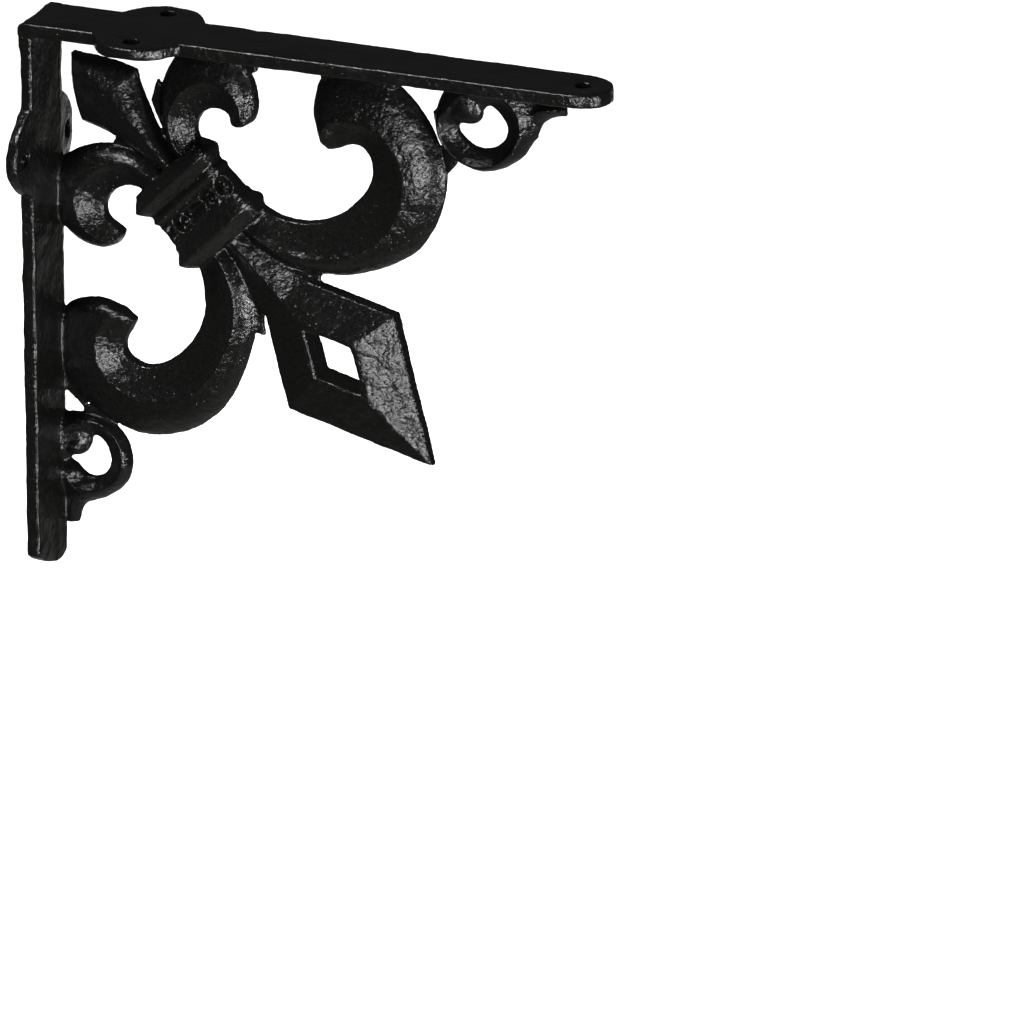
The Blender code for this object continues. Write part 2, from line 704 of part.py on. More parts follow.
def main():
    clear_scene()
    parts = new_collection("shelf bracket")
    patterns = new_collection("patterns and cutters")

    bracket = add_bar("arm", bar_outline(ARM_EAR_CENTRE, ARM_LENGTH, tongue_edge()), parts)
    bracket.name = "shelf_bracket"
    leg = add_bar("leg", bar_outline(LEG_EAR_CENTRE, LEG_LENGTH, leg_end_edge()), patterns)
    combine(bracket, [leg], "UNION")
    bpy.context.view_layer.update()
    apply_modifiers(bracket)
    round_outer_corner(bracket)

    relief = []
    for bar, side in (("arm", 1), ("leg", -1)):
        cuts = bulged(HOOK_CUTS, HOOK_BULGES[bar])
        relief.append(band(bar + "_hook_petal", cuts, HOOK_CREST, side, patterns))
        cuts = bulged(C_SCROLL_CUTS, C_SCROLL_BULGES[bar])
        relief.append(band(bar + "_c_scroll", cuts, C_SCROLL_CREST, side, patterns))
        relief += add_ring(bar, patterns)
        relief.append(add_foot(bar, patterns))
    relief.append(add_tail(patterns))
    relief.append(add_neck(patterns))
    relief.append(add_spear(patterns))
    relief += add_eggs(patterns)
    for number, (start, end, bottom) in enumerate(ARM_PADS):
        relief.append(add_pad(number + 1, start, end, bottom, patterns))
    relief += [add_web(number + 1, corners, patterns) for number, corners in enumerate(WEBS)]
    collar = add_collar(patterns)
    lengthen_backs([collar] + relief)
    combine(collar, relief, "UNION")
    combine(collar, [add_trim(patterns)], "DIFFERENCE")
    combine(bracket, [collar], "UNION")

    holes = []
    for bar, centre, spacing in (("arm", ARM_EAR_CENTRE, ARM_HOLE_SPACING),
                                 ("leg", LEG_EAR_CENTRE, LEG_HOLE_SPACING)):
        for side, word in ((-1, "near"), (1, "far")):
            name = "%s_%s_hole" % (bar, word)
            holes.append(add_hole(name, centre, bar, side * spacing / 2, patterns))
    holes.append(add_hole("tongue_hole", ARM_LENGTH - TONGUE_HOLE_FROM_END, "arm", 0.0, patterns))
    combine(bracket, holes, "DIFFERENCE")

    bracket.data.materials.clear()
    bracket.data.materials.append(cast_iron_paint())
    bracket.data.shade_smooth()
    bracket.data.set_sharp_from_angle(angle=math.radians(32))


main()
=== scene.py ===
import math

import bpy
import numpy as np
from mathutils import Matrix, Vector


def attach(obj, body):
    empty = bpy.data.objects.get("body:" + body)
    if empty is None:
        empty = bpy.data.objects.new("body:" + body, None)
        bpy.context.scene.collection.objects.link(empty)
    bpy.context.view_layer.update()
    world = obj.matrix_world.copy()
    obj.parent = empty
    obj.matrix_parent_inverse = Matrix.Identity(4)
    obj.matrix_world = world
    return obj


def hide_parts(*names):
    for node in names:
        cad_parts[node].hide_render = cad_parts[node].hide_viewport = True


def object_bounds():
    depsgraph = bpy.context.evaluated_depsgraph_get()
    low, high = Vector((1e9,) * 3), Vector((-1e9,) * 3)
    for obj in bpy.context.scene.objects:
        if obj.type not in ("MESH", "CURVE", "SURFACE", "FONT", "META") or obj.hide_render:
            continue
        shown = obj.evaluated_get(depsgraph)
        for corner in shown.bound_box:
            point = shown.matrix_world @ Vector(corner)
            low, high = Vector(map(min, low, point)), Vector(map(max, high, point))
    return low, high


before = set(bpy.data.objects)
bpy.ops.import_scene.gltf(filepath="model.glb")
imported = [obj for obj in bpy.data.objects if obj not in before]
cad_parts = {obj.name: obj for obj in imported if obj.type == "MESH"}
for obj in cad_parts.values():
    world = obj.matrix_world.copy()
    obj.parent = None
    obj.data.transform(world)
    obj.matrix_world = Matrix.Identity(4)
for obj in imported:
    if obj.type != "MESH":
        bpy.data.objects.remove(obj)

# An ornate cast iron shelf bracket, sand cast in one piece and enamelled black.
# Shapes are worked out in millimetres from the outer corner of the L: x away from the wall,
# y toward the flat back, z up from the arm's top. fromCorner turns them to metres in the
# row's frame, whose origin is on the leg's back between the two screws of its ear.

cadLow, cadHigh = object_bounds()
print("frame loaded")

mm = 0.001
cornerHeight = 45.0   # the arm's top above the origin
partingDepth = 9.0    # where the two halves of the sand mould met
reliefShift = 2.9     # the relief's own diagonal lies this far toward the leg


def fromCorner(x, y, z):
    # one array of points in metres from three arrays in millimetres
    x, y, z = np.broadcast_arrays(x, y, z)
    return np.stack((x, y, z + cornerHeight), axis=-1) * mm


def besideBar(distance, reach, depth, bar):
    # distance runs along a bar from the corner, reach is square to its outer face
    if bar == "arm":
        return fromCorner(distance, depth, -reach)
    return fromCorner(reach, depth, -distance)


def onDiagonal(along, across, depth, side):
    # the relief's own axes: along the diagonal away from the corner, and across it toward
    # the arm (side 1) or toward the leg (side -1)
    shifted = side * across - reliefShift
    return fromCorner((along + shifted) * math.sqrt(0.5), depth, (shifted - along) * math.sqrt(0.5))


def facingOut(points, triangles):
    # the triangles as they are, or turned round where the signed volume is negative
    a, b, c = (points[triangles[:, k]] for k in range(3))
    if np.einsum("ij,ij->", a, np.cross(b, c)) < 0:
        return triangles[:, ::-1]
    return triangles


def closedShell(grid):
    # rows of points round a closed section, skinned in quads; each end row is closed by a
    # fan to its own middle
    rows, columns = grid.shape[:2]
    points = np.concatenate((grid.reshape(-1, 3), grid[:1].mean(axis=1), grid[-1:].mean(axis=1)))
    low = np.arange(rows - 1)[:, None] * columns
    here = np.arange(columns)[None, :]
    after = (here + 1) % columns
    quads = np.stack((low + here, low + after, low + after + columns, low + here + columns), axis=-1)
    quads = quads.reshape(-1, 4)
    halves = np.concatenate((quads[:, [0, 1, 2]], quads[:, [0, 2, 3]]))
    first, last = rows * columns, rows * columns + 1
    top = (rows - 1) * columns
    here, after = here[0], after[0]
    startFan = np.stack((after, here, np.full(columns, first)), axis=-1)
    endFan = np.stack((top + here, top + after, np.full(columns, last)), axis=-1)
    return points, facingOut(points, np.concatenate((halves, startFan, endFan)))


def ringShell(grid):
    # rows of points whose last row joins the first, such as a frame round a hole
    rows, columns = grid.shape[:2]
    row = np.arange(rows)[:, None]
    here = np.arange(columns)[None, :]
    a = row * columns + here
    b = row * columns + (here + 1) % columns
    c = ((row + 1) % rows) * columns + (here + 1) % columns
    d = ((row + 1) % rows) * columns + here
    triangles = np.concatenate((np.stack((a, b, c), axis=-1).reshape(-1, 3),
                                np.stack((a, c, d), axis=-1).reshape(-1, 3)))
    points = grid.reshape(-1, 3)
    return points, facingOut(points, triangles)


def smoothRows(rows, count):
    # a Catmull-Rom curve through rows of numbers, read at count equal steps:
    # half of 2b + (c - a)t + (2a - 5b + 4c - d)t^2 + (3b - a - 3c + d)t^3
    rows = np.asarray(rows, dtype=float)
    padded = np.concatenate((2 * rows[:1] - rows[1:2], rows, 2 * rows[-1:] - rows[-2:-1]))
    value = np.linspace(0, len(rows) - 1, count)
    k = np.minimum(value.astype(int), len(rows) - 2)
    t = (value - k)[:, None]
    a, b, c, d = padded[k], padded[k + 1], padded[k + 2], padded[k + 3]
    return 0.5 * (2 * b + (c - a) * t + (2 * a - 5 * b + 4 * c - d) * t ** 2
                  + (3 * b - a - 3 * c + d) * t ** 3)


def pointsAndFaces(mesh):
    points = np.empty(len(mesh.vertices) * 3)
    mesh.vertices.foreach_get("co", points)
    mesh.calc_loop_triangles()
    faces = np.empty(len(mesh.loop_triangles) * 3, dtype=np.int32)
    mesh.loop_triangles.foreach_get("vertices", faces)
    return points.reshape(-1, 3), faces.reshape(-1, 3)


def newObject(name, points, triangles):
    mesh = bpy.data.meshes.new(name)
    mesh.from_pydata(points.tolist(), [], triangles.tolist())
    mesh.update()
    item = bpy.data.objects.new(name, mesh)
    bpy.context.scene.collection.objects.link(item)
    return item


def finished(item):
    # the object's mesh with its modifiers worked in, as arrays; the object itself goes
    graph = bpy.context.evaluated_depsgraph_get()
    mesh = bpy.data.meshes.new_from_object(item.evaluated_get(graph))
    bpy.data.objects.remove(item)
    points, faces = pointsAndFaces(mesh)
    bpy.data.meshes.remove(mesh)
    return points, faces


bars = {
    "armLength": 203.0,
    "legLength": 193.0,
    "cornerWidth": 23.6,
    "endWidth": 21.4,
    "thickness": 5.8,            # at the parting plane
    "nearDraft": 0.058,          # thickness lost per mm toward the relief side
    "backDraft": 0.12,           # and toward the flat back
    "edgeRadius": 0.7,
    "cornerRound": 2.4,          # where the arm's top meets the leg's back
    "wobble": {"arm": 0.12, "leg": 0.4},   # the near edge's waviness
    "wobbleLengths": (3.1, 7.7),
    "earCentre": {"arm": 42.0, "leg": 45.0},
    "earHalfLength": 14.8,
    "earReach": 22.8,
    "earPower": 2.6,
    "tongueLength": 15.0,        # the arm's rounded end
    "tonguePower": 2.4,
    "legEndCrown": 4.0,          # depth at which the leg's end reaches lowest
    "legEndRise": (6.4, 2.2),    # how far it rises from there, toward the relief and the back
    "legEndPower": (1.6, 2.0),
    "holeDiameter": 5.4,
    "holeAllowance": 0.35,       # what the softening of the cast edges takes back
    "holes": {                   # distance from the corner, depth
        "arm": ((42.0, -15.0), (42.0, 15.0), (193.5, 0.0)),
        "leg": ((45.0, -16.2), (45.0, 16.2)),
    },
    "step": 0.5,
    "endZone": 4.0,              # finer stations over this length at each bar's end
    "endGap": 0.02,              # the last station stops this far short of the end
    "endStations": 15,
    "edgeSteps": 6,
    "faceSteps": 41,
    "holeSides": 40,
    "plugReach": (-3.0, 9.0),    # a hole's plug runs past both faces of the bar
}


def barEdges(bar, distance):
    # depths of the near and the far edge along a bar: a straight taper, a lobe on each side
    # where the ear is, and the bar's own kind of end
    length = bars[bar + "Length"]
    half = 0.5 * (bars["cornerWidth"] + (bars["endWidth"] - bars["cornerWidth"]) * distance / length)
    share = np.clip(np.abs(distance - bars["earCentre"][bar]) / bars["earHalfLength"], 0, 1)
    half = half + (bars["earReach"] - half) * (1 - share ** bars["earPower"])
    short, long = bars["wobbleLengths"]
    wave = bars["wobble"][bar] * np.sin(distance / short) * np.sin(distance / long)
    near, far = -np.minimum(half + wave, bars["earReach"]), half
    if bar == "arm":
        into = np.clip((distance - (length - bars["tongueLength"])) / bars["tongueLength"], 0, 1)
        keep = (1 - into ** bars["tonguePower"]) ** (1 / bars["tonguePower"])
        return near * keep, far * keep
    # the leg's end was cast short on its relief side: its lowest point is toward the back
    left = length - distance
    crown = bars["legEndCrown"]
    nearRise, farRise = bars["legEndRise"]
    nearPower, farPower = bars["legEndPower"]
    nearLimit = crown - (half + crown) * np.clip(left / nearRise, 0, 1) ** (1 / nearPower)
    farLimit = crown + (half - crown) * np.clip(left / farRise, 0, 1) ** (1 / farPower)
    return np.maximum(near, nearLimit), np.minimum(far, farLimit)


def barShell(bar):
    # at each station the section runs along the outer face and back along the inner face,
    # with quarter rounds at both edges: drop = r - sqrt(r^2 - (r - distance to edge)^2)
    length = bars[bar + "Length"]
    zone = bars["endZone"]
    toEnd = zone * np.cos(np.linspace(0, math.pi / 2, bars["endStations"]))[:-1]
    distance = np.concatenate((np.arange(0, length - zone, bars["step"]), length - toEnd,
                               [length - bars["endGap"]]))
    near, far = barEdges(bar, distance)
    width = far - near
    radius = np.minimum(bars["edgeRadius"], 0.45 * width)[:, None]
    turn = np.linspace(0, math.pi / 2, bars["edgeSteps"])
    edge = radius * (1 - np.cos(turn))[None, :]
    share = np.linspace(0, 1, bars["faceSteps"])[None, 1:-1]
    middle = share * (width[:, None] - 2 * radius) + radius
    across = np.concatenate((edge, middle, width[:, None] - edge[:, ::-1]), axis=1)
    fromEdge = np.minimum(across, width[:, None] - across)
    inside = np.clip(radius - fromEdge, 0, radius)
    drop = radius - np.sqrt(radius ** 2 - inside ** 2)
    depth = near[:, None] + across
    past = depth - partingDepth
    lost = np.where(past < 0, -past * bars["nearDraft"], past * bars["backDraft"])
    thickness = bars["thickness"] - lost
    spot = np.broadcast_to(distance[:, None], depth.shape)
    outer = besideBar(spot, drop, depth, bar)
    inner = besideBar(spot, thickness - drop, depth, bar)[:, ::-1]
    return closedShell(np.concatenate((outer, inner), axis=1))


def cornerRounded(points):
    # beyond the rounding's centre line each point is drawn back to the radius
    radius = bars["cornerRound"] * mm
    centre = np.array([radius, cornerHeight * mm - radius])
    offset = points[:, [0, 2]] - centre
    away = np.linalg.norm(offset, axis=1)
    outside = (offset[:, 0] < 0) & (offset[:, 1] > 0) & (away > radius)
    rounded = points.copy()
    rounded[:, [0, 2]] = np.where(outside[:, None], centre + offset * (radius / away)[:, None],
                                  points[:, [0, 2]])
    return rounded


def drilledBar(bar):
    # the bar with its plain through holes, cut by round plugs square to it
    item = newObject(bar, *barShell(bar))
    plugs = []
    turn = np.linspace(0, 2 * math.pi, bars["holeSides"], endpoint=False)
    radius = 0.5 * (bars["holeDiameter"] + bars["holeAllowance"])
    reach = np.array(bars["plugReach"])[:, None]
    for number, (distance, depth) in enumerate(bars["holes"][bar]):
        plug = besideBar(distance + radius * np.cos(turn), reach, depth + radius * np.sin(turn), bar)
        plugs.append(newObject("%sPlug%d" % (bar, number), *closedShell(plug)))
        cut = item.modifiers.new("screwHole", "BOOLEAN")
        cut.operation = "DIFFERENCE"
        cut.solver = "EXACT"
        cut.object = plugs[-1]
    bpy.context.view_layer.update()
    shell = finished(item)
    for plug in plugs:
        bpy.data.objects.remove(plug)
    return shell


relief = {
    "flatBack": 10.6,            # depth of the relief's back
    "wallTop": 6.9,              # where a side wall ends and the slope starts
    "crest": 4.0,
    "sideLean": 0.5,             # each side wall leans in by this much
    "arris": (0.45, 0.05),       # height of the ridge on a crest, its half width as a share
    "innerPower": (1.6, 1.1),    # the inner slope's power where it is hollow, its fall to domed
    "outerRoll": (1.8, 0.62),    # powers of the outer slope's roll
    "profileSteps": 49,
}

# Rows of a curved member: inner edge along and across, outer edge along and across, height
# of its crest as a share of the full one, place of the crest between the edges, and how full
# the inner slope is (0 hollow, 1 domed as on a bulb)
cScroll = {
    "rows": (
        (92.0, 14.8, 92.0, 3.8, 0.9, 0.66, 0.1),
        (101.0, 17.4, 106.0, 4.4, 1.0, 0.66, 0.0),
        (108.0, 22.2, 118.0, 8.8, 1.0, 0.65, 0.0),
        (113.3, 28.7, 128.2, 18.0, 1.0, 0.64, 0.0),
        (116.2, 36.5, 136.2, 32.5, 1.0, 0.60, 0.0),
        (116.8, 45.0, 139.8, 47.5, 1.0, 0.55, 0.0),
        (115.0, 53.5, 137.0, 62.5, 1.0, 0.49, 0.0),
        (111.0, 58.4, 128.0, 75.8, 1.0, 0.44, 0.05),
        (106.0, 60.2, 112.5, 82.6, 1.0, 0.40, 0.15),
        (102.3, 59.2, 97.5, 83.2, 1.0, 0.37, 0.35),
        (100.0, 56.4, 85.0, 76.6, 1.0, 0.36, 0.6),
        (99.0, 53.2, 79.8, 65.2, 1.0, 0.38, 0.8),
        (98.3, 50.7, 84.6, 54.8, 0.95, 0.42, 1.0),
        (97.6, 48.8, 92.0, 49.2, 0.45, 0.5, 1.0),
    ),
    "bulges": {                  # edge, fullest place along (0 to 1), half length, growth in mm
        "arm": (("inner", 0.7, 0.45, 2.0), ("outer", 0.35, 0.25, 2.0), ("outer", 0.88, 0.15, 2.0)),
        "leg": (("inner", 0.3, 0.5, 2.0), ("outer", 0.3, 0.25, -2.0), ("outer", 0.68, 0.15, 1.5),
                ("outer", 0.88, 0.15, 2.0)),
    },
    "steps": 320,
}
hookPetal = {
    "rows": (
        (76.0, 13.8, 76.0, 3.6, 0.9, 0.7, 0.1),
        (67.6, 14.4, 66.0, 4.2, 1.0, 0.7, 0.0),
        (64.5, 16.0, 58.0, 6.1, 1.0, 0.68, 0.0),
        (62.4, 18.6, 51.5, 9.8, 1.0, 0.62, 0.0),
        (61.3, 22.0, 46.0, 15.9, 1.0, 0.55, 0.0),
        (61.4, 25.6, 42.2, 24.2, 1.0, 0.5, 0.0),
        (62.7, 28.6, 41.4, 33.0, 1.0, 0.47, 0.1),
        (64.8, 30.4, 45.6, 41.0, 1.0, 0.46, 0.3),
        (67.0, 30.9, 54.6, 46.0, 1.0, 0.46, 0.5),
        (69.0, 30.6, 64.0, 45.0, 1.0, 0.47, 0.75),
        (71.0, 30.1, 71.2, 40.8, 0.95, 0.48, 0.9),
        (72.6, 29.8, 74.7, 35.2, 0.75, 0.5, 1.0),
        (73.4, 29.9, 74.3, 31.6, 0.35, 0.5, 1.0),
    ),
    "bulges": {
        "arm": (("inner", 0.7, 0.5, 3.5), ("outer", 0.8, 0.2, -1.5)),
        "leg": (("outer", 0.8, 0.2, 1.5),),
    },
    "steps": 240,
}


def sectionPlaces(count):
    # places across a member from 0 to 1, closer together toward both edges
    return 0.5 - 0.5 * np.cos(np.linspace(0, math.pi, count))


def slopeDepth(place, crest, fullness, share, wallTop, crestDepth):
    # from the inner edge's wall up to the crest the height is (place / crest) to a power
    # that falls from hollow to domed; beyond the crest the surface rolls down to the flat
    # back as 1 - (1 - left^p)^q, left being the share of the way to the edge.
    # A fine ridge follows the crest: height exp(-(distance from it / half width)^2)
    top = wallTop - (wallTop - crestDepth) * share
    hollow, fall = relief["innerPower"]
    inner = wallTop - (wallTop - top) * np.clip(place / crest, 0, 1) ** (hollow - fall * fullness)
    left = np.clip((place - crest) / (1 - crest), 0, 1)
    p, q = relief["outerRoll"]
    outer = top + (relief["flatBack"] - top) * (1 - (1 - left ** p) ** q)
    tall, reach = relief["arris"]
    ridge = tall * share * np.exp(-((place - crest) / reach) ** 2)
    return np.where(place < crest, inner, outer) - ridge


def sweptSections(rows, wallTop, crestDepth, steps):
    # each row becomes a section: up the inner side wall, over the crest, down to the back
    path = smoothRows(rows, steps)
    place = sectionPlaces(relief["profileSteps"])[None, :]
    depth = slopeDepth(place, path[:, 5:6], path[:, 6:7], path[:, 4:5], wallTop, crestDepth)
    width = np.linalg.norm(path[:, 2:4] - path[:, 0:2], axis=1)[:, None]
    inset = relief["sideLean"] / width
    place = inset + place * (1 - inset)
    place = np.concatenate((np.zeros_like(width), place), axis=1)
    depth = np.concatenate((np.full_like(width, relief["flatBack"]), depth), axis=1)
    first = path[:, 0:1] + (path[:, 2:3] - path[:, 0:1]) * place
    second = path[:, 1:2] + (path[:, 3:4] - path[:, 1:2]) * place
    return first, second, depth


def memberShell(member, bar):
    # the two halves of the pattern differ: at each bulge an edge moves out from the member by
    # growth cos^2(90 degrees x share), share being how far along the bulge's half length it is
    rows = np.array(member["rows"])
    span = rows[:, 2:4] - rows[:, 0:2]
    span = span / np.linalg.norm(span, axis=1)[:, None]
    along = np.linspace(0, 1, len(rows))
    for edge, fullest, halfLength, growth in member["bulges"][bar]:
        share = np.clip(np.abs(along - fullest) / halfLength, 0, 1)
        move = span * (growth * np.cos(0.5 * math.pi * share) ** 2)[:, None]
        if edge == "inner":
            rows[:, 0:2] -= move
        else:
            rows[:, 2:4] += move
    along, across, depth = sweptSections(rows, relief["wallTop"], relief["crest"], member["steps"])
    return closedShell(onDiagonal(along, across, depth, 1 if bar == "arm" else -1))


spear = {
    "tip": 18.0,
    "shoulder": 36.8,
    "halfWidth": 13.3,
    "base": 74.0,
    "baseHalfWidth": 2.6,
    "legExtra": 2.3,             # its half toward the leg is wider by this much
    "crestShift": 1.1,           # and its crest lies this far toward the arm
    "lopsidedFrom": 4,           # both grow to the full over a quarter of the way to the shoulder
    "armTrim": (0.5, 8),         # mm less toward the arm at the tip, and how soon it sets in
    "fullHeightHalf": 6.0,       # half width at which the crest has its full height
    "tipGap": 0.1,               # the first station's distance from the very tip
    "steps": 140,
    "sides": 57,
}


def spearShell():
    # a leaf blade: its half width rises as 1 - (1 - s)^1.25 up to the shoulder and falls off
    # as (1 - s)^2.1 toward the base. Off the crest, q from 0 to 1, each side falls gently at
    # first and then rolls down to the back: 0.25 q^1.1 + 0.75 (1 - (1 - q^3.5)^0.6)
    s = np.linspace(0, 1, spear["steps"]) ** 1.2
    span = spear["base"] - spear["tip"] - spear["tipGap"]
    along = spear["tip"] + spear["tipGap"] + s * span
    rise = np.clip((along - spear["tip"]) / (spear["shoulder"] - spear["tip"]), 0, 1)
    fall = np.clip((along - spear["shoulder"]) / (spear["base"] - spear["shoulder"]), 0, 1)
    swell = spear["halfWidth"] - spear["baseHalfWidth"]
    half = np.where(along < spear["shoulder"],
                    spear["halfWidth"] * (1 - (1 - rise) ** 1.25),
                    spear["baseHalfWidth"] + swell * (1 - fall) ** 2.1)
    lopsided = np.minimum(1, rise * spear["lopsidedFrom"]) * (1 - fall ** 2)
    trim, onset = spear["armTrim"]
    toArm = half - trim * (1 - rise) * np.minimum(1, rise * onset)
    toLeg = half + spear["legExtra"] * lopsided
    crestAt = spear["crestShift"] * lopsided
    full = np.where(along < spear["shoulder"],
                    np.minimum(1, half / spear["fullHeightHalf"]) ** 0.5, 1.0)
    top = relief["wallTop"] - (relief["wallTop"] - relief["crest"]) * full
    q = np.sin(np.linspace(-0.5 * math.pi, 0.5 * math.pi, spear["sides"]))[None, :]
    away = np.abs(q)
    drop = 0.25 * away ** 1.1 + 0.75 * (1 - (1 - away ** 3.5) ** 0.6)
    depth = top[:, None] + (relief["flatBack"] - top[:, None]) * drop
    reach = np.where(q < 0, (toLeg + crestAt)[:, None], (toArm - crestAt)[:, None])
    return closedShell(onDiagonal(along[:, None], crestAt[:, None] + q * reach, depth, 1))


collar = {
    "start": 67.4,
    "end": 98.4,
    "shift": -0.9,               # it sits this far toward the leg
    "halfWidth": 16.0,
    "front": 1.9,                # depth of the plain band's front
    "boxiness": 5.5,
    "beads": ((71.9, 3.9, 3.2), (78.4, 1.5, 1.1), (89.6, 1.5, 1.1), (93.9, 4.1, 3.6)),
    "sideShare": 0.8,            # a bead stands out less at the sides than in front
    "eggCentre": 83.9,
    "eggPitch": 6.9,
    "eggCount": 5,
    "hollow": (3.6, 2.9, 3.4),   # half length along, half width, depth
    "egg": (1.5, 1.2, 1.8),      # half length along, half width, height
    "lip": (0.5, 0.13),          # height of the rim round each hollow, and its half width as a share
    "eggShift": 0.3,             # an egg's middle lies this far toward the tail
    "steps": 190,
    "sides": 161,
}


def collarShell():
    # a boxy dome carried along the diagonal: across = -w cos(t)^(2/p), depth from the back
    # = h sin(t)^(2/p); each bead adds a roof with a rounded ridge, (1 - s^1.25)^0.9. On the
    # band between the thin rings a row of ovals is hollowed and an egg is raised in each, and
    # a lip, exp(-((far - 1) / half width)^2), stands round the hollow, far being 1 at its edge.
    along = np.linspace(collar["start"], collar["end"], collar["steps"])
    swell = np.zeros_like(along)
    for centre, half, height in collar["beads"]:
        share = np.clip(np.abs(along - centre) / half, 0, 1)
        swell = np.maximum(swell, height * (1 - share ** 1.25) ** 0.9)
    turn = np.linspace(0, math.pi, collar["sides"])[None, :]
    power = 2 / collar["boxiness"]
    half = (collar["halfWidth"] + collar["sideShare"] * swell)[:, None]
    tall = (relief["flatBack"] - collar["front"] + swell)[:, None]
    across = -half * np.sign(np.cos(turn)) * np.abs(np.cos(turn)) ** power
    up = tall * np.abs(np.sin(turn)) ** power
    stepAcross = np.gradient(across, axis=1)
    stepUp = np.gradient(up, axis=1)
    span = np.maximum(np.hypot(stepAcross, stepUp), 1e-6)
    arc = np.cumsum(span, axis=1)
    arc = arc - 0.5 * arc[:, -1:]
    lift = np.zeros_like(across)
    a, b, deep = collar["hollow"]
    c, d, tallEgg = collar["egg"]
    for number in range(collar["eggCount"]):
        middle = (number - (collar["eggCount"] - 1) / 2) * collar["eggPitch"]
        far = np.hypot((along[:, None] - collar["eggCentre"]) / a, (arc - middle) / b)
        lift -= deep * np.clip(1 - far ** 3.5, 0, 1)
        lift += collar["lip"][0] * np.exp(-((far - 1) / collar["lip"][1]) ** 2)
        eggAlong = along[:, None] - collar["eggCentre"] - collar["eggShift"]
        near = np.hypot(eggAlong / c, (arc - middle) / d)
        lift += tallEgg * np.sqrt(np.clip(1 - near ** 2, 0, 1))
    across = collar["shift"] + across - lift * stepUp / span
    up = np.maximum(up + lift * stepAcross / span, 0)
    return closedShell(onDiagonal(along[:, None], across, relief["flatBack"] - up, 1))


tail = {
    "centre": 152.5,
    "halfLength": 45.8,
    "halfWidth": 27.8,
    "tipLean": 0.9,
    "sideLean": 1.4,
    "eyeCentre": 150.8,
    "eyeHalfLength": 14.8,
    "eyeHalfWidth": 8.6,
    "rim": 2.1,
    "rimDepth": 2.9,
    "eyeBackShare": 0.76,
    "neck": ((94.0, 5.2), (124.0, 10.6)),   # along, half width at both ends
    "neckWallTop": 7.4,
}


def lozengeLoop(centre, halfLength, halfWidth, depth):
    along = centre + halfLength * np.array([-1.0, 0.0, 1.0, 0.0])
    across = halfWidth * np.array([0.0, 1.0, 0.0, -1.0])
    return onDiagonal(along, across, depth, 1)


def tailShell():
    # loops from the outer back edge, over the facets and the flat rim, down through the eye
    t = tail
    slope = t["halfWidth"] / t["halfLength"]
    share = t["eyeBackShare"]
    loops = (
        lozengeLoop(t["centre"], t["halfLength"], t["halfWidth"], relief["flatBack"]),
        lozengeLoop(t["centre"], t["halfLength"] - t["tipLean"], t["halfWidth"] - t["sideLean"],
                    relief["wallTop"]),
        lozengeLoop(t["eyeCentre"], t["eyeHalfLength"] + t["rim"] / slope,
                    t["eyeHalfWidth"] + t["rim"], t["rimDepth"]),
        lozengeLoop(t["eyeCentre"], t["eyeHalfLength"], t["eyeHalfWidth"], t["rimDepth"]),
        lozengeLoop(t["eyeCentre"], t["eyeHalfLength"] * share, t["eyeHalfWidth"] * share,
                    relief["flatBack"]),
    )
    return ringShell(np.stack(loops))


def neckShell():
    # the stalk between the collar and the tail, with one crest along the diagonal
    sections = []
    for along, half in tail["neck"]:
        across = np.array([-half, -half, 0.0, half, half])
        depth = np.array([relief["flatBack"], tail["neckWallTop"], relief["crest"],
                          tail["neckWallTop"], relief["flatBack"]])
        sections.append(onDiagonal(along, across, depth, 1))
    return closedShell(np.stack(sections))


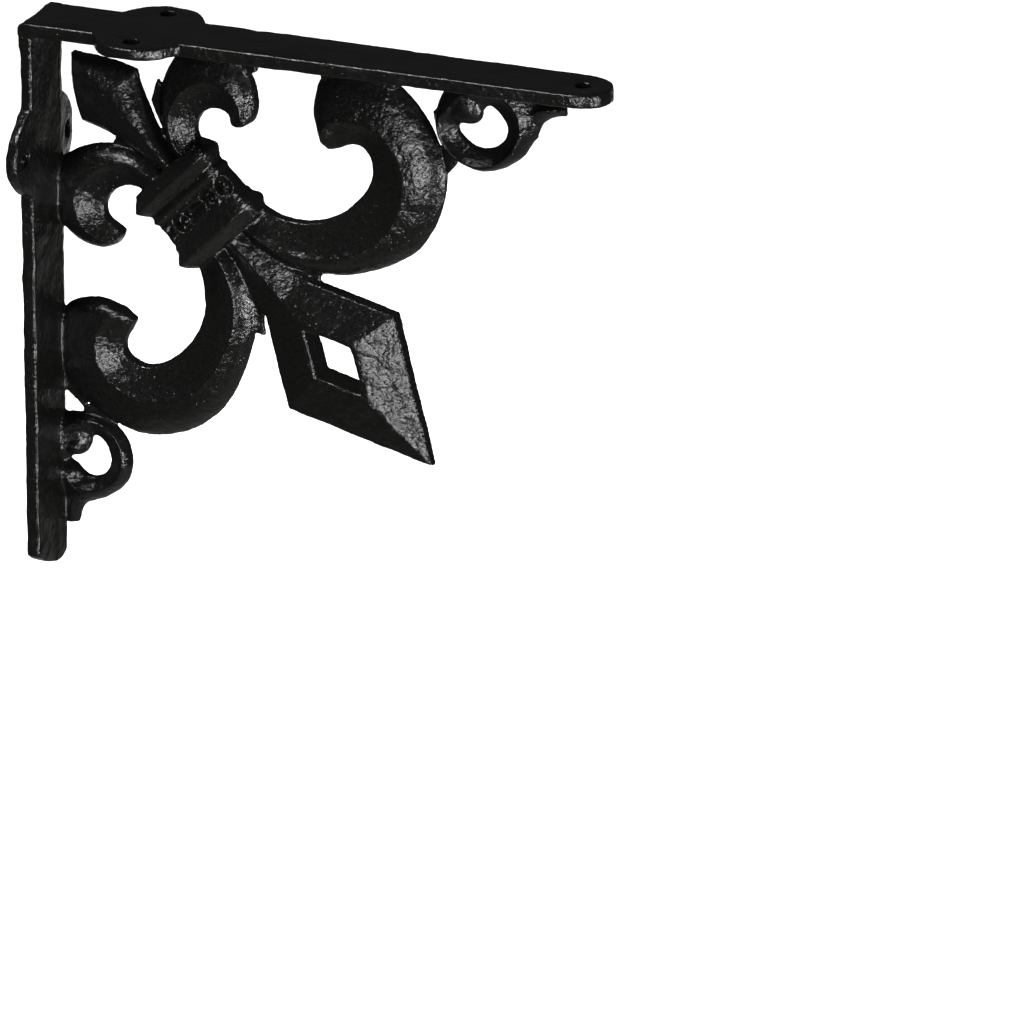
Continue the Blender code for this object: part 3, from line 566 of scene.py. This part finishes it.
# Ring scrolls, one near the end of each bar, in bar coordinates (distance, reach)
rings = {
    "arm": {
        "centre": (156.0, 22.5),
        "eye": ((153.3, 21.4), (147.6, 21.1), (146.5, 24.0), (150.0, 28.0), (155.0, 29.8),
                (158.0, 29.0), (164.0, 21.0), (161.0, 16.5), (158.0, 14.2), (154.5, 18.0)),
        "outside": ((138.6, 22.0), (142.0, 31.2), (150.0, 36.4), (165.0, 34.0), (172.0, 26.7),
                    (175.5, 19.0), (172.0, 8.0), (155.0, 3.0), (143.0, 9.0)),
        "curls": ((149.0, 15.6, 6.0, 3.2, 2.9), (163.5, 9.0, 4.6, 2.0, 2.0)),
        "foot": ((163.0, 16.5, 174.0, 24.5, 0.8, 0.55, 0.2), (168.0, 12.5, 175.8, 19.2, 1.0, 0.5, 0.2),
                 (173.0, 10.5, 178.4, 16.9, 1.0, 0.45, 0.3), (178.5, 9.8, 181.5, 15.6, 0.9, 0.45, 0.3),
                 (184.0, 9.6, 184.0, 15.0, 0.7, 0.5, 0.5)),
    },
    "leg": {
        "centre": (156.0, 16.5),
        "eye": ((150.6, 15.3), (148.0, 17.0), (150.0, 20.5), (154.0, 22.0), (162.6, 18.0),
                (163.2, 14.0), (160.0, 10.6), (157.6, 6.7), (155.6, 12.0), (153.6, 14.5)),
        "outside": ((142.2, 4.0), (141.3, 12.0), (142.2, 20.0), (153.0, 29.4), (168.9, 22.5),
                    (172.2, 16.4), (173.0, 8.0), (160.0, 1.5)),
        "curls": ((150.2, 9.6, 5.9, 2.0, 2.2), (152.6, 10.2, 3.3, 2.4, 3.1), (163.2, 7.6, 4.2, 2.0, 2.6)),
        "foot": ((160.0, 5.0, 168.5, 20.5, 0.8, 0.6, 0.2), (167.0, 4.6, 172.6, 14.2, 1.0, 0.5, 0.3),
                 (173.0, 4.4, 176.0, 11.6, 0.9, 0.5, 0.4), (180.6, 4.2, 180.6, 10.6, 0.6, 0.5, 0.6)),
    },
    "wallTop": 8.0,
    "crest": 5.4,
    "footWallTop": 9.2,
    "footCrest": 6.9,
    "steps": 180,
    "blend": 5,                  # steps to each side over which an outline's joints are rounded
    "profileSteps": 33,
    "footSteps": 60,
    "curlSides": 64,
}


def loopRadius(loop, centre, turn):
    # distance from the centre to a closed outline, read at equal angles: between two points it
    # changes evenly with the angle, and a weighted mean over 1 + cos(offset) rounds the joints
    offset = np.asarray(loop) - np.asarray(centre)
    angle = np.arctan2(offset[:, 1], offset[:, 0])
    order = np.argsort(angle)
    radius = np.interp(turn, angle[order], np.hypot(offset[order, 0], offset[order, 1]),
                       period=2 * math.pi)
    reach = rings["blend"]
    weight = 1 + np.cos(math.pi * np.arange(-reach, reach + 1) / (reach + 1))
    shifted = [np.roll(radius, k) * w for k, w in zip(range(-reach, reach + 1), weight)]
    return np.sum(shifted, axis=0) / weight.sum()


def ringScrollShell(bar):
    # round the eye, each section has a hollow inner slope and rolls down outside; the crest
    # runs near the outer edge toward the corner and below, and mid-way at the far side:
    # place = 0.60 - 0.14 cos(turn) + 0.10 sin(turn)
    ring = rings[bar]
    turn = np.linspace(-math.pi, math.pi, rings["steps"], endpoint=False)[:, None]
    inner = loopRadius(ring["eye"], ring["centre"], turn[:, 0])[:, None]
    outer = loopRadius(ring["outside"], ring["centre"], turn[:, 0])[:, None]
    place = sectionPlaces(rings["profileSteps"])[None, :]
    crest = 0.60 - 0.14 * np.cos(turn) + 0.10 * np.sin(turn)
    depth = slopeDepth(place, crest, 0.0, 1.0, rings["wallTop"], rings["crest"])
    depth = np.concatenate((np.full_like(inner, relief["flatBack"]), depth), axis=1)
    place = np.concatenate(([[0.0]], place), axis=1)
    radius = inner + (outer - inner) * place
    distance = ring["centre"][0] + radius * np.cos(turn)
    reach = ring["centre"][1] + radius * np.sin(turn)
    return ringShell(besideBar(distance, reach, depth, bar))


def curlShell(bar, distance, reach, radius, boxiness, height):
    # a low dome on a squarish circle: |cos|^(2/p) and |sin|^(2/p) for its outline, and
    # height (1 - q^2)^0.6 above the ring's wall, q from the middle to the rim
    turn = np.linspace(0, 2 * math.pi, rings["curlSides"], endpoint=False)[None, :]
    q = np.concatenate(([1.0], np.cos(np.linspace(0, math.pi / 2, 12))[:-1], [0.02]))[:, None]
    depth = rings["wallTop"] - height * (1 - q ** 2) ** 0.6
    depth[0] = relief["flatBack"]
    alongBar = np.sign(np.cos(turn)) * np.abs(np.cos(turn)) ** (2 / boxiness)
    away = np.sign(np.sin(turn)) * np.abs(np.sin(turn)) ** (2 / boxiness)
    return closedShell(besideBar(distance + radius * q * alongBar, reach + radius * q * away, depth, bar))


def footShell(bar):
    # a leaf with its own crest, running out from the ring to its end beside the bar
    distance, reach, depth = sweptSections(rings[bar]["foot"], rings["footWallTop"],
                                           rings["footCrest"], rings["footSteps"])
    return closedShell(besideBar(distance, reach, depth, bar))


def slabShell(outline, front, bar):
    # a flat outline in bar coordinates, from the relief's back to the front depth
    outline = np.asarray(outline)
    rows = [besideBar(outline[:, 0], outline[:, 1], depth, bar) for depth in (relief["flatBack"], front)]
    return closedShell(np.stack(rows))


pads = {
    "front": 7.6,
    "outlines": (                # pads between the arm's underside and the relief
        ((48.0, 3.0), (76.0, 3.0), (76.0, 13.4), (74.0, 14.4), (50.0, 14.4)),
        ((98.7, 3.0), (125.0, 3.0), (125.0, 12.6), (98.7, 12.6)),
        ((143.5, 3.0), (184.0, 3.0), (184.0, 9.0), (170.0, 10.0), (158.0, 12.0), (143.0, 12.0)),
    ),
}

# Thin plates that close the ends of narrow gaps near the flat back, as distance along the arm
# and reach below its top
webs = {
    "front": 9.0,
    "outlines": (
        ((38.0, 28.5), (40.5, 21.0), (44.0, 28.0), (43.5, 42.0)),      # spear and arm petal
        ((24.0, 44.5), (26.5, 42.0), (31.5, 46.0), (26.0, 47.0)),      # spear and leg petal
        ((73.0, 104.5), (78.0, 105.0), (77.0, 92.0), (73.5, 92.5)),    # leg scroll and neck
        ((97.5, 83.5), (98.0, 81.5), (89.5, 79.0), (89.5, 83.0)),      # arm scroll and neck
        ((137.5, 19.5), (140.0, 16.5), (146.0, 36.0), (143.0, 40.0)),  # arm scroll and ring
        ((5.0, 125.5), (5.0, 133.0), (12.5, 139.5), (15.0, 136.0)),    # leg scroll and leg
        ((12.5, 138.0), (12.5, 141.0), (26.5, 147.0), (22.5, 142.0)),  # leg scroll and ring
    ),
}

casting = {
    "voxel": 0.45,               # mm, the grid on which the shells are fused
    "softenSteps": 1,
    "soften": 0.6,               # share of the way to the neighbours' mean at each step
    "filletSteps": 7,
    "fillet": 0.9,
    "crispShare": 0.05,          # how much of the rounding reaches the collar's ovals
    "crispReach": 5.6,           # mm along the diagonal to each side of the ovals' middle
    "crispFade": 1.5,            # mm over which the rounding comes back
    "crispSpare": 4.0,           # mm past the collar's sides
    "boxMargin": 0.03,           # mm that the skin stays inside the solid's own box
    "wear": 0.5,                 # lumps on the leg's upper near edge, mm
    "wearFade": 2.5,             # mm over which they fade, from the outer face and the edge
    "wearStart": (1.0, 7.0),     # x where the fading starts, and -y where it ends
    "wearDrop": 8.0,             # mm below the origin where they end
    "grain": (                   # wavelength and height of each size of unevenness, mm
        (11.0, 0.18),
        (4.4, 0.16),
        (1.9, 0.08),
        (1.05, 0.04),
    ),
    "flash": 0.22,               # height of the ridge left at the mould's parting line
    "flashWidth": 0.55,
    "flashWave": 5.0,            # length of its breaks
    "flashLeft": (0.55, 1.3),    # how much of it is left on average, and how much that varies
    "flashTurn": 2.5,            # how soon it ends where a face turns to the front or the back
    "wearWave": 5.5,
    "seeds": {"grain": 11, "flash": 31, "wear": 41},
    "triangles": 196000,
}


def castingShells():
    shells = [drilledBar("arm"), drilledBar("leg")]
    for bar in ("arm", "leg"):
        shells += [memberShell(cScroll, bar), memberShell(hookPetal, bar)]
        shells += [ringScrollShell(bar), footShell(bar)]
        shells += [curlShell(bar, *curl) for curl in rings[bar]["curls"]]
    shells += [spearShell(), neckShell(), tailShell(), collarShell()]
    shells += [slabShell(outline, pads["front"], "arm") for outline in pads["outlines"]]
    shells += [slabShell(outline, webs["front"], "arm") for outline in webs["outlines"]]
    return shells


def fused(shells):
    # all shells in one mesh, turned to one skin on a voxel grid
    counts = np.cumsum([0] + [len(points) for points, faces in shells])
    points = np.concatenate([shell[0] for shell in shells])
    faces = np.concatenate([shell[1] + start for shell, start in zip(shells, counts)])
    item = newObject("fusedShells", points, faces)
    skin = item.modifiers.new("oneSkin", "REMESH")
    skin.mode = "VOXEL"
    skin.voxel_size = casting["voxel"] * mm
    bpy.context.view_layer.update()
    return finished(item)


def spread(faces, values, count):
    # adds each face's value to its three corners
    total = np.zeros((count, 3))
    for axis in range(3):
        total[:, axis] = np.bincount(faces.ravel(), np.repeat(values[:, axis], 3), count)
    return total


def cornerNormals(points, faces):
    a, b, c = (points[faces[:, k]] for k in range(3))
    total = spread(faces, np.cross(b - a, c - a), len(points))
    return total / np.maximum(np.linalg.norm(total, axis=1), 1e-20)[:, None]


def neighbourMean(points, faces):
    count = len(points)
    degree = np.bincount(faces.ravel(), minlength=count)[:, None]
    others = points[faces].sum(axis=1)
    return (spread(faces, others, count) - points * degree) / (2 * degree)


def roundingShare(points):
    # 1 nearly everywhere, and the crisp share on the collar's band of ovals
    x, y, z = (points / mm).T
    fromCornerDown = z - cornerHeight
    along = (x - fromCornerDown) * math.sqrt(0.5)
    across = (x + fromCornerDown) * math.sqrt(0.5) + reliefShift - collar["shift"]
    inside = casting["crispReach"] - np.abs(along - collar["eggCentre"])
    inBand = np.clip(inside / casting["crispFade"], 0, 1)
    inBand *= np.abs(across) < collar["halfWidth"] + casting["crispSpare"]
    return (1 - (1 - casting["crispShare"]) * inBand)[:, None]


def softened(points, faces):
    # plain smoothing rounds the arrises a little; then only the hollows are filled, by moving
    # each point out along its normal as far as its neighbours' mean lies above it
    share = roundingShare(points)
    for step in range(casting["softenSteps"]):
        points = points + casting["soften"] * share * (neighbourMean(points, faces) - points)
    for step in range(casting["filletSteps"]):
        normals = cornerNormals(points, faces)
        above = np.einsum("ij,ij->i", neighbourMean(points, faces) - points, normals)
        points = points + casting["fillet"] * share * np.clip(above, 0, None)[:, None] * normals
    return points


def latticeNoise(points, wave, seed):
    # random numbers on a cubic lattice one wavelength apart, joined by smooth steps
    size = 64
    table = np.random.default_rng(seed).uniform(-1, 1, (size, size, size))
    place = points / (wave * mm)
    cell = np.floor(place).astype(int)
    t = place - cell
    t = t * t * t * (t * (6 * t - 15) + 10)
    value = np.zeros(len(points))
    for i in (0, 1):
        for j in (0, 1):
            for k in (0, 1):
                weight = ((t[:, 0] if i else 1 - t[:, 0]) * (t[:, 1] if j else 1 - t[:, 1])
                          * (t[:, 2] if k else 1 - t[:, 2]))
                value += weight * table[(cell[:, 0] + i) % size, (cell[:, 1] + j) % size,
                                        (cell[:, 2] + k) % size]
    return value


def sandCast(points, faces):
    # unevenness along the normal: a sum of lattice noises, a ridge at the parting plane on
    # the bars' long sides, broken where the flash was knocked off, and wear at the corner
    normals = cornerNormals(points, faces)
    lift = np.zeros(len(points))
    for number, (wave, height) in enumerate(casting["grain"]):
        lift += height * latticeNoise(points, wave, casting["seeds"]["grain"] + number)
    onSide = np.clip(1 - casting["flashTurn"] * np.abs(normals[:, 1]), 0, 1)
    fromLine = (points[:, 1] / mm - partingDepth) / casting["flashWidth"]
    breaks = latticeNoise(points, casting["flashWave"], casting["seeds"]["flash"])
    usual, change = casting["flashLeft"]
    broken = np.clip(usual + change * breaks, 0, 1)
    lift += casting["flash"] * onSide * broken * np.exp(-fromLine ** 2)
    x, y, z = (points / mm).T
    fade, drop = casting["wearFade"], casting["wearDrop"]
    outFace, nearEdge = casting["wearStart"]
    worn = (np.clip(1 - (x - outFace) / fade, 0, 1) * np.clip(-(y + nearEdge) / fade, 0, 1)
            * np.clip((z + drop) / drop, 0, 1))
    lumps = latticeNoise(points, casting["wearWave"], casting["seeds"]["wear"])
    lift += casting["wear"] * worn * (lumps - 0.5)
    return points + normals * (lift * mm)[:, None]


def castBracket():
    points, faces = fused(castingShells())
    print("casting fused:", len(points), "points")
    points = sandCast(softened(cornerRounded(points), faces), faces)
    margin = casting["boxMargin"] * mm
    points = np.clip(points, np.array(cadLow) + margin, np.array(cadHigh) - margin)
    item = newObject("shelfBracketCasting", points, faces)
    if len(faces) > casting["triangles"]:
        thin = item.modifiers.new("fewerFaces", "DECIMATE")
        thin.ratio = casting["triangles"] / len(faces)
        bpy.context.view_layer.update()
        points, faces = finished(item)
        item = newObject("shelfBracketCasting", points, faces)
    item.data.shade_smooth()
    print("casting finished:", len(faces), "triangles")
    return item


def linearColour(hexValue):
    # sRGB hex to linear: c / 12.92 below 0.04045, else ((c + 0.055) / 1.055)^2.4
    channels = [int(hexValue[k:k + 2], 16) / 255 for k in (1, 3, 5)]
    return [c / 12.92 if c <= 0.04045 else ((c + 0.055) / 1.055) ** 2.4 for c in channels] + [1.0]


def addNode(tree, kind, settings=(), links=()):
    # one node with its settings (socket, value) and links (socket, source socket)
    node = tree.nodes.new(kind)
    for socket, value in settings:
        node.inputs[socket].default_value = value
    for socket, source in links:
        tree.links.new(source, node.inputs[socket])
    return node


enamel = {
    "black": "#0d0d0d",
    "dusty": "#1b1a18",          # thinner, duller enamel on the high grains
    "roughness": (0.17, 0.27),
    "orangePeel": 1.5,           # mm, wavelength of the enamel's own unevenness
    "grit": 0.45,                # mm, sand grain under the enamel
    "nodule": 2.2,               # mm between the odd nodules that stand out of the sand
    "bumps": (0.28, 0.07, 0.1),  # mm, heights of the orange peel, the grit and the nodules
    "dustyFrom": (0.45, 0.7),    # grit values where the dusty colour starts and is full
    "peelRange": (0.35, 0.65),   # peel values at the two roughnesses
    "noduleEdge": (0.06, 0.2),   # distances, in cells, where a nodule is full and where it ends
}


def enamelledIron():
    # Black enamel over sand-cast iron: a dielectric gloss coat, never mirror smooth, that
    # follows the sand grain. Highlights break into mottles and the colour is nearly black.
    material = bpy.data.materials.new("blackEnamelOverSandCastIron")
    material.use_nodes = True
    tree = material.node_tree
    shader = tree.nodes["Principled BSDF"]
    place = addNode(tree, "ShaderNodeTexCoord").outputs["Object"]
    peel = addNode(tree, "ShaderNodeTexNoise",
                   [("Scale", 1000 / enamel["orangePeel"]), ("Detail", 2.0), ("Roughness", 0.5)],
                   [("Vector", place)])
    grit = addNode(tree, "ShaderNodeTexNoise",
                   [("Scale", 1000 / enamel["grit"]), ("Detail", 3.0), ("Roughness", 0.6)],
                   [("Vector", place)])
    peelHeight, gritHeight, noduleHeight = (height * mm for height in enamel["bumps"])
    colour = addNode(tree, "ShaderNodeValToRGB", links=[("Fac", grit.outputs["Fac"])])
    ends = zip(colour.color_ramp.elements, enamel["dustyFrom"], ("black", "dusty"))
    for end, position, tone in ends:
        end.position = position
        end.color = linearColour(enamel[tone])
    gloss = addNode(tree, "ShaderNodeMapRange",
                    [("From Min", enamel["peelRange"][0]), ("From Max", enamel["peelRange"][1]),
                     ("To Min", enamel["roughness"][0]), ("To Max", enamel["roughness"][1])],
                    [("Value", peel.outputs["Fac"])])
    coarse = addNode(tree, "ShaderNodeBump", [("Strength", 1.0), ("Distance", peelHeight)],
                     [("Height", peel.outputs["Fac"])])
    fine = addNode(tree, "ShaderNodeBump", [("Strength", 1.0), ("Distance", gritHeight)],
                   [("Height", grit.outputs["Fac"]), ("Normal", coarse.outputs["Normal"])])
    spots = addNode(tree, "ShaderNodeTexVoronoi", [("Scale", 1000 / enamel["nodule"])],
                    [("Vector", place)])
    raised = addNode(tree, "ShaderNodeMapRange",
                     [("From Min", enamel["noduleEdge"][0]), ("From Max", enamel["noduleEdge"][1]),
                      ("To Min", 1.0), ("To Max", 0.0)],
                     [("Value", spots.outputs["Distance"])])
    pimples = addNode(tree, "ShaderNodeBump", [("Strength", 1.0), ("Distance", noduleHeight)],
                      [("Height", raised.outputs["Result"]), ("Normal", fine.outputs["Normal"])])
    tree.links.new(colour.outputs["Color"], shader.inputs["Base Color"])
    tree.links.new(gloss.outputs["Result"], shader.inputs["Roughness"])
    tree.links.new(pimples.outputs["Normal"], shader.inputs["Normal"])
    shader.inputs["IOR"].default_value = 1.5
    shader.inputs["Specular IOR Level"].default_value = 0.4
    shader.inputs["Metallic"].default_value = 0.0
    return material


bracket = castBracket()
bracket.data.materials.append(enamelledIron())
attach(bracket, "root")
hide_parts("shelf_bracket")


studio = {
    "floorDrop": 1.1,            # floor's height below the origin, m
    "floorHalf": 14.0,           # half of its side, m
    "floor": "#e9e9e6",
    "world": 0.035,
    "azimuth": 21.94,            # the photograph's viewing angle, degrees
    "elevation": 21.34,
    "distance": 4.0,
    "target": (0.16882, 0.0, -0.10531),
    "lens": 431.7,               # mm, on a sensor 36 mm wide
    "softboxSpread": 60.0,       # degrees, so that their light stays off the floor
    "lights": (                  # direction from the target, distance, size, watts
        ((0.27, -0.95, -0.14), 2.2, 0.5, 3.2),
        ((0.90, -0.36, -0.25), 2.2, 0.4, 3.5),
        ((-0.35, -0.40, 0.85), 2.2, 0.6, 4.5),
    ),
    "wash": ((-0.85, 2.45, 2.4), 1.2, 42.0, 24.0),   # place, size, spread, watts of the floor's light
}


def aimed(place, target):
    return (Vector(target) - Vector(place)).to_track_quat("-Z", "Y").to_euler()


def addLight(name, place, target, size, watts, spread):
    lamp = bpy.data.lights.new(name, "AREA")
    lamp.shape = "DISK"
    lamp.size = size
    lamp.energy = watts
    lamp.spread = math.radians(spread)
    item = bpy.data.objects.new(name, lamp)
    item.location = place
    item.rotation_euler = aimed(place, target)
    bpy.context.scene.collection.objects.link(item)


def setStudio():
    target = Vector(studio["target"])
    drop = -studio["floorDrop"]
    side = studio["floorHalf"]
    floor = newObject("paleFloor", np.array([[-side, -side, drop], [side, -side, drop],
                                             [side, side, drop], [-side, side, drop]]),
                      np.array([[0, 1, 2], [0, 2, 3]]))
    paint = bpy.data.materials.new("paleFloorPaint")
    paint.use_nodes = True
    shader = paint.node_tree.nodes["Principled BSDF"]
    shader.inputs["Base Color"].default_value = linearColour(studio["floor"])
    shader.inputs["Roughness"].default_value = 0.9
    floor.data.materials.append(paint)
    for number, (direction, away, size, watts) in enumerate(studio["lights"]):
        place = target + Vector(direction).normalized() * away
        addLight("softbox%d" % (number + 1), place, target, size, watts, studio["softboxSpread"])
    place, size, wide, watts = studio["wash"]
    addLight("floorWash", place, (place[0], place[1], drop), size, watts, wide)
    world = bpy.data.worlds.new("studioAir")
    world.use_nodes = True
    world.node_tree.nodes["Background"].inputs["Color"].default_value = (1, 1, 1, 1)
    world.node_tree.nodes["Background"].inputs["Strength"].default_value = studio["world"]
    bpy.context.scene.world = world


def setCamera():
    # the camera sits on the photograph's line of sight and looks along it without roll
    a, e = math.radians(studio["azimuth"]), math.radians(studio["elevation"])
    back = Vector((math.sin(a) * math.cos(e), -math.cos(a) * math.cos(e), math.sin(e)))
    right = Vector((math.cos(a), math.sin(a), 0))
    turn = Matrix((right, back.cross(right), back)).transposed()
    lens = bpy.data.cameras.new("camera")
    lens.sensor_width = 36
    lens.lens = studio["lens"]
    lens.clip_end = 100
    item = bpy.data.objects.new("camera", lens)
    item.location = Vector(studio["target"]) + back * studio["distance"]
    item.rotation_euler = turn.to_euler()
    bpy.context.scene.collection.objects.link(item)
    bpy.context.scene.camera = item


setStudio()
setCamera()
bpy.context.scene.view_settings.view_transform = "Standard"
print("studio set")
